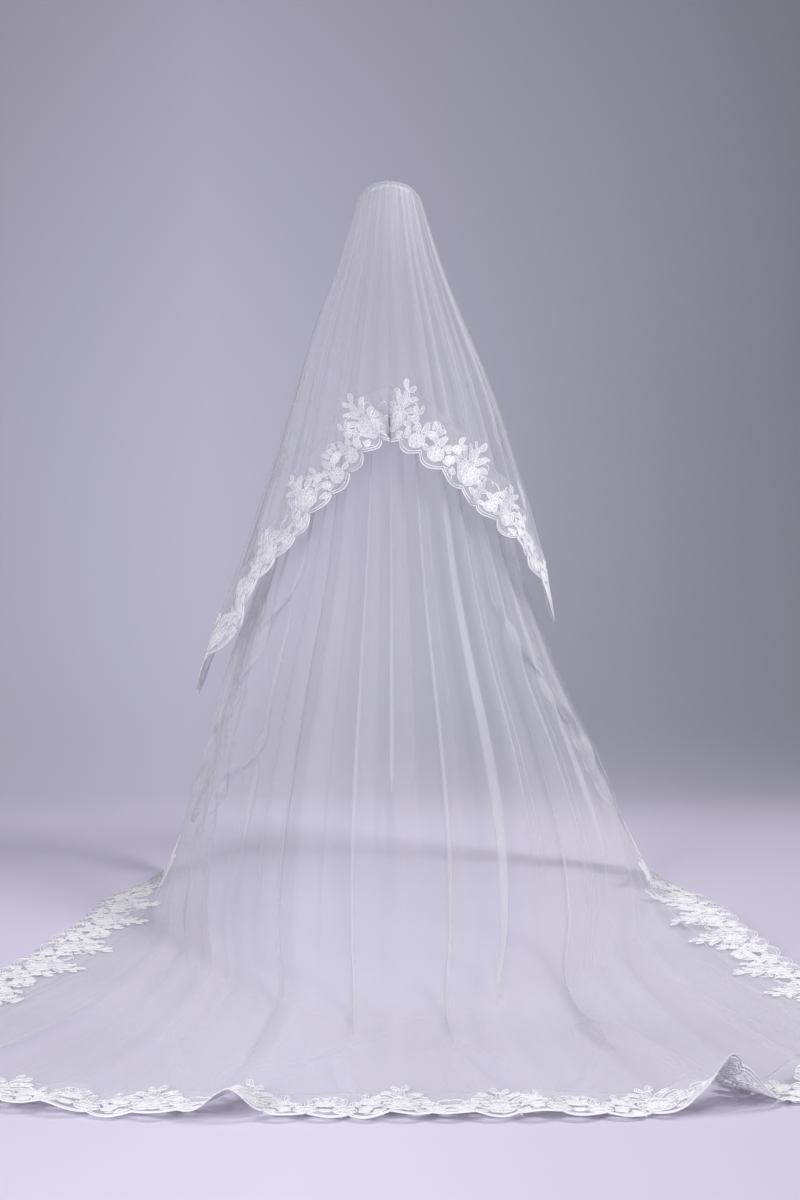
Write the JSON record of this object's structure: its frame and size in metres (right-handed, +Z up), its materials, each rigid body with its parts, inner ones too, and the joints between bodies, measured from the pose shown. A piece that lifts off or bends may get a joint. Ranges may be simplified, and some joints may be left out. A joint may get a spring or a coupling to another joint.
{
  "type": "bridal veil",
  "caption": "White tulle bridal veil on a hair comb: a waist-length upper tier over a cathedral-length tier that spreads on the floor, both edged with corded floral lace.",
  "frame": {"origin": "middle of the gather over the comb, where the wearer's hair holds the veil at the crown", "axes": "+Z up, +Y the way the wearer faces, so the train runs towards -Y, and +X to the right when seen from behind"},
  "size_m": [1.9458, 2.2139, 1.7885],
  "materials": {
    "tulle": "fine sheer white nylon net",
    "lace": "white corded floral lace on net",
    "comb": "clear moulded plastic"
  },
  "bodies": {
    "root": {"crown_comb": "comb", "long_tier_tulle": "tulle", "long_tier_lace": "lace", "short_tier_tulle": "tulle", "short_tier_lace": "lace"}
  },
  "joints": []
}
